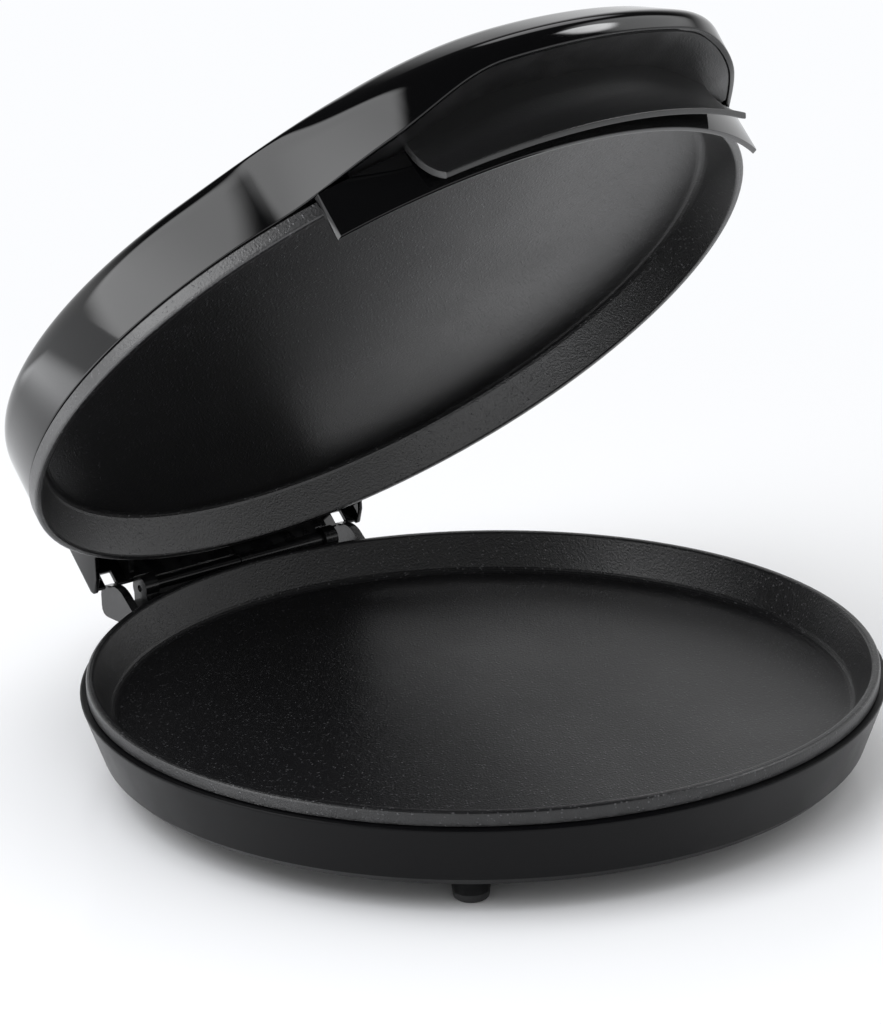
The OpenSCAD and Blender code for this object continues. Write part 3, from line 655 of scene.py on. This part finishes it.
def plain_stuff(name, colour, roughness, scale=700.0, strength=0.25, **sockets):
    """Rubber, mica, sleeves, moulded lenses: one colour with its own grain and blotches."""
    finish = Finish(name, colour, roughness, **sockets)
    grain = finish.use(GRAIN, Scale=scale, Blotch_Scale=60.0)
    shade = tuple(c * 0.82 for c in colour)
    finish.feed("Base Color", finish.mix_colours(grain["Blotch"], shade, colour))
    finish.vary_roughness(grain["Blotch"], roughness * 0.85, min(roughness * 1.2, 1.0))
    finish.feed("Normal", finish.bump(grain["Height"], strength, 0.0001))
    return finish.material


def dress(piece, material):
    """Puts one material on every slot of a piece."""
    slots = piece.material_slots
    if not slots:
        piece.data.materials.append(material)
    for slot in slots:
        slot.material = material


# Stage, lamps and camera


# The floor's edge and height in millimetres, and the distances in metres where it turns plain white
FLOOR_R = 9000.0
FLOOR_Z = -0.1
WHITE_START = 0.3
WHITE_FULL = 0.8
# A painted glow on the floor to the left, brighter emission that no lamp lights and that only glossy pieces
# mirror: direction, distances in metres and strength
POOL_AIM = (-1.0, 0.15, 0)
POOL_START = 0.36
POOL_FULL = 0.62
POOL_FADE = 0.85
POOL_END = 1.2
POOL_STRENGTH = 2.2


def make_floor():
    """Pale and slightly glossy near the object, plain white further out, with the bright pool: a painted glow that
    only glossy pieces mirror.
    """
    steps = 96
    rim = []
    for i in range(steps):
        a = 2 * math.pi * i / steps
        rim.append((FLOOR_R * math.cos(a), FLOOR_R * math.sin(a), FLOOR_Z))
    floor = new_piece("floor", rim, [tuple(range(steps))])
    material = bpy.data.materials.new("pale_floor")
    material.use_nodes = True
    tree = material.node_tree
    shader = tree.nodes["Principled BSDF"]
    shader.inputs["Base Color"].default_value = (0.96, 0.96, 0.963, 1)
    shader.inputs["Roughness"].default_value = 0.12
    place = tree.nodes.new("ShaderNodeTexCoord").outputs["Object"]
    distance = tree.nodes.new("ShaderNodeVectorMath")
    distance.operation = "LENGTH"
    tree.links.new(place, distance.inputs[0])
    far = spread(tree, distance.outputs["Value"], WHITE_START, WHITE_FULL)
    white = tree.nodes.new("ShaderNodeEmission")
    white.inputs["Color"].default_value = (0.97, 0.98, 1, 1)
    side = tree.nodes.new("ShaderNodeVectorMath")
    side.operation = "DOT_PRODUCT"
    side.inputs[1].default_value = POOL_AIM
    tree.links.new(place, side.inputs[0])
    near_side = spread(tree, side.outputs["Value"], POOL_START, POOL_FULL)
    reach = spread(tree, distance.outputs["Value"], POOL_FADE, POOL_END, POOL_STRENGTH, 0.0)
    pool = calculate(tree, "MULTIPLY", near_side, reach)
    # Painted glow: glossy rays see the floor's emission raised by the pool's strength, a bright patch that no lamp
    # lights
    gloss = tree.nodes.new("ShaderNodeLightPath").outputs["Is Glossy Ray"]
    tree.links.new(calculate(tree, "MULTIPLY_ADD", gloss, pool, 1.0), white.inputs["Strength"])
    mix = tree.nodes.new("ShaderNodeMixShader")
    tree.links.new(calculate(tree, "MULTIPLY", far, seen_directly(tree)), mix.inputs["Fac"])
    tree.links.new(shader.outputs["BSDF"], mix.inputs[1])
    tree.links.new(white.outputs["Emission"], mix.inputs[2])
    tree.links.new(mix.outputs["Shader"], tree.nodes["Material Output"].inputs["Surface"])
    dress(floor, material)


# Strength of the even light that falls on dull surfaces
DULL_LIGHT = 0.88
# Soft lights around the object: direction, half angle of the full light, half angle where it ends, strength
STUDIO_LIGHTS = {
    "left": ((-0.9, 0.25, 0.36), 21, 30, 3.2),
    "right": ((0.761, -0.15, 0.616), 12, 20, 1.6),
    "key": ((0.6, -0.32, 0.72), 5, 9, 9.0),
    "rear": ((0.55, 0.5, 0.68), 7, 13, 1.4),
}


def seen_directly(tree):
    """1 for what the camera, a gloss or a clear material shows; 0 for light that falls on dull surfaces."""
    path = tree.nodes.new("ShaderNodeLightPath")
    seen = calculate(tree, "MAXIMUM", path.outputs["Is Camera Ray"], path.outputs["Is Glossy Ray"])
    return calculate(tree, "MAXIMUM", seen, path.outputs["Is Transmission Ray"])


def make_world():
    """White near the horizon and dark overhead, with soft lights, and even light for dull surfaces."""
    world = bpy.data.worlds.new("studio")
    bpy.context.scene.world = world
    world.use_nodes = True
    tree = world.node_tree
    background = tree.nodes["Background"]
    aim = tree.nodes.new("ShaderNodeTexCoord").outputs["Generated"]
    split = tree.nodes.new("ShaderNodeSeparateXYZ")
    tree.links.new(aim, split.inputs["Vector"])
    shown = spread(tree, split.outputs["Z"], 0.16, 0.5, 1.0, 0.03)
    for axis, full, end, strength in STUDIO_LIGHTS.values():
        near = tree.nodes.new("ShaderNodeVectorMath")
        near.operation = "DOT_PRODUCT"
        tree.links.new(aim, near.inputs[0])
        near.inputs[1].default_value = Vector(axis).normalized()
        low, high = math.cos(math.radians(end)), math.cos(math.radians(full))
        shown = calculate(tree, "ADD", shown, spread(tree, near.outputs["Value"], low, high, 0.0, strength))
    seen = seen_directly(tree)
    dull = calculate(tree, "MULTIPLY", calculate(tree, "SUBTRACT", 1.0, seen), DULL_LIGHT)
    tree.links.new(calculate(tree, "MULTIPLY_ADD", seen, shown, dull), background.inputs["Strength"])
    background.inputs["Color"].default_value = (0.985, 0.99, 1.0, 1)


def softbox(name, place, aim, size, power):
    lamp = bpy.data.lights.new(name, "AREA")
    lamp.shape = "RECTANGLE"
    lamp.size = size[0]
    lamp.size_y = size[1]
    lamp.energy = power
    lamp.color = (0.94, 0.96, 1.0)
    holder = bpy.data.objects.new(name, lamp)
    holder.location = Vector(place)
    holder.rotation_euler = (Vector(aim) - Vector(place)).to_track_quat("-Z", "Y").to_euler()
    holder.visible_glossy = False
    bpy.context.scene.collection.objects.link(holder)


def make_camera():
    """The photograph's viewpoint; the small roll is the photograph's own."""
    back = Vector((-0.5918, -0.7425, 0.3138)).normalized()
    level = Vector((0.7820, -0.6233, 0)).normalized()
    upward = back.cross(level).normalized()
    roll = math.radians(-1.27)
    right = level * math.cos(roll) + upward * math.sin(roll)
    up = upward * math.cos(roll) - level * math.sin(roll)
    target = Vector((-0.00456, 0.002712, 0.10324))
    distance = 1.4
    place = target + back * distance
    camera = bpy.data.cameras.new("camera")
    camera.sensor_fit = "HORIZONTAL"
    camera.sensor_width = 36
    camera.lens = 139.52
    holder = bpy.data.objects.new("camera", camera)
    bpy.context.scene.collection.objects.link(holder)
    columns = (right, up, back, place)
    rows = [[column[i] for column in columns] for i in range(3)]
    holder.matrix_world = Matrix(rows + [[0, 0, 0, 1]])
    bpy.context.scene.camera = holder


# The whole scene

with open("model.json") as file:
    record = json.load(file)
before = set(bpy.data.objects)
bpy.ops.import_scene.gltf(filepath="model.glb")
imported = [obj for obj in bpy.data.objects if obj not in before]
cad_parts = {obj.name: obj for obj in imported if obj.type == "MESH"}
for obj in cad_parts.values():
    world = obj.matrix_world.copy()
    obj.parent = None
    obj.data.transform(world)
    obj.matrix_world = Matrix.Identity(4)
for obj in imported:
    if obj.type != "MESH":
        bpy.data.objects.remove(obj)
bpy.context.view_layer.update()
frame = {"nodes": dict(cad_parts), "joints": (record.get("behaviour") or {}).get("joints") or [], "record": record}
bpy.context.scene.view_settings.view_transform = "Standard"
make_camera()

hinge = frame["joints"][0]
hinge_place = Vector(hinge["pos_m"])
lid_open = -math.radians(hinge["range_deg"][0])
to_base = Matrix.Translation((0, hinge_place.y - HINGE_Y * MM, 0))
pin = Vector((0, HINGE_Y, HINGE_Z)) * MM
to_lid = to_base @ Matrix.Translation(pin) @ Matrix.Rotation(-lid_open, 4, "X") @ Matrix.Translation(-pin)


def place_on_lid(piece, slot, *nodes):
    piece.data.transform(to_lid)
    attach(piece, "lid")
    if nodes:
        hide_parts(*nodes)


FINISHES = {
    "gloss_black": gloss_black(),
    "satin_black": satin_black(),
    "matt_black": matt_black(),
    "coating": baking_coat("baking_coat", 0.55),
    "steel": metal("bare_steel", (0.55, 0.56, 0.58), 0.32),
    "bright_sheet": metal("bright_sheet", (0.75, 0.76, 0.78), 0.22),
    "rubber": plain_stuff("black_rubber", (0.016, 0.016, 0.017), 0.7, 900.0, 0.4),
    "phenolic": plain_stuff("phenolic", (0.03, 0.022, 0.017), 0.42),
    "mica": plain_stuff("mica", (0.62, 0.58, 0.46), 0.5, 240.0),
    "sleeving": plain_stuff("glass_sleeving", (0.72, 0.7, 0.64), 0.75, 1900.0, 0.6),
    "fuse_sleeve": plain_stuff("fuse_sleeve", (0.5, 0.42, 0.2), 0.4),
    "red_lens": plain_stuff("red_lens", (0.35, 0.012, 0.01), 0.12, 300.0, 0.05, Transmission_Weight=0.4),
    "green_lens": plain_stuff("green_lens", (0.012, 0.22, 0.04), 0.12, 300.0, 0.05, Transmission_Weight=0.4),
    "board": plain_stuff("lamp_board", (0.45, 0.4, 0.26), 0.55, 500.0),
}

# The upper plate is a little glossier than the lower one
upper_coat = baking_coat("upper_baking_coat", 0.9)

slot_of = {row["node"]: row["material_slot"] for row in frame["record"]["subparts"]}
for node, cad_piece in frame["nodes"].items():
    dress(cad_piece, FINISHES[slot_of[node]])

dress(frame["nodes"]["upper_plate"], upper_coat)

shell = make_lid_shell()
dress(shell, FINISHES["gloss_black"])
place_on_lid(shell, "gloss_black", "lid_shell")
cowl = make_cowl()
dress(cowl, FINISHES["gloss_black"])
place_on_lid(cowl, "gloss_black", "lid_shell")
grip = make_grip_wall()
dress(grip, FINISHES["matt_black"])
place_on_lid(grip, "satin_black", "grip_cover")
ledge = make_grip_ledge()
dress(ledge, FINISHES["matt_black"])
place_on_lid(ledge, "satin_black", "grip_cover")
guard = make_heat_guard()
dress(guard, FINISHES["gloss_black"])
place_on_lid(guard, "gloss_black", "heat_guard")

make_floor()
make_world()
softbox("overhead box", (-0.85, -0.15, 1.35), (0, 0, 0), (1.3, 1.3), 15)
